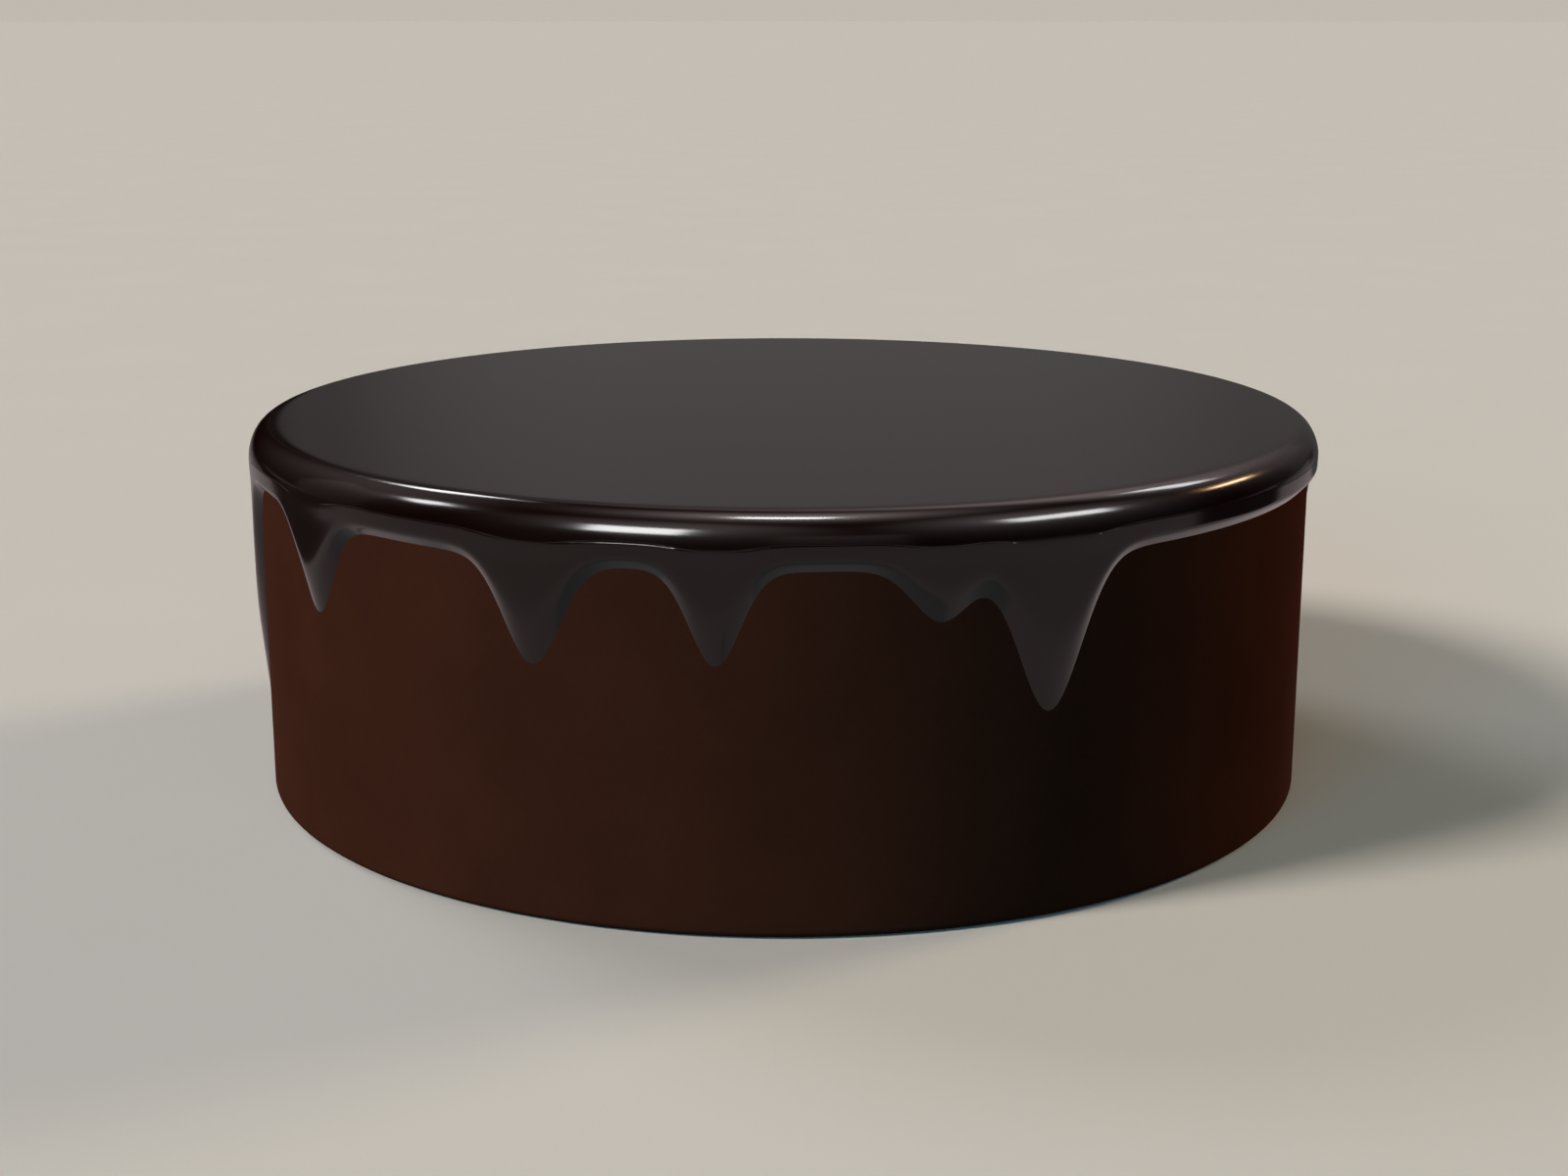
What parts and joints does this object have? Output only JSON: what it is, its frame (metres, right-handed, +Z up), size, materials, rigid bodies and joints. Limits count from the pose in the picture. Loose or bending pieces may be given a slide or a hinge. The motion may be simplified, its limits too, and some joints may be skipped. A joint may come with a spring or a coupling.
{
  "type": "mirror-glazed entremet",
  "caption": "Round chocolate mousse cake with a flat glossy top, a rounded glaze bead at the rim and short uneven drips down its plain side.",
  "frame": {"origin": "middle of the cake's flat foot, on the surface it stands on", "axes": "+Z up; -Y is the front, the side with five short drips; +X is to the right seen from the front"},
  "size_m": [0.1832, 0.1832, 0.0629],
  "materials": {
    "chocolate_mousse": "smooth dark chocolate mousse with a fine satin skin, as it leaves its ring",
    "chocolate_glaze": "poured dark chocolate mirror glaze, glossy and near black"
  },
  "bodies": {
    "root": {"mousse_cake": "chocolate_mousse", "mirror_glaze": "chocolate_glaze"}
  },
  "joints": []
}
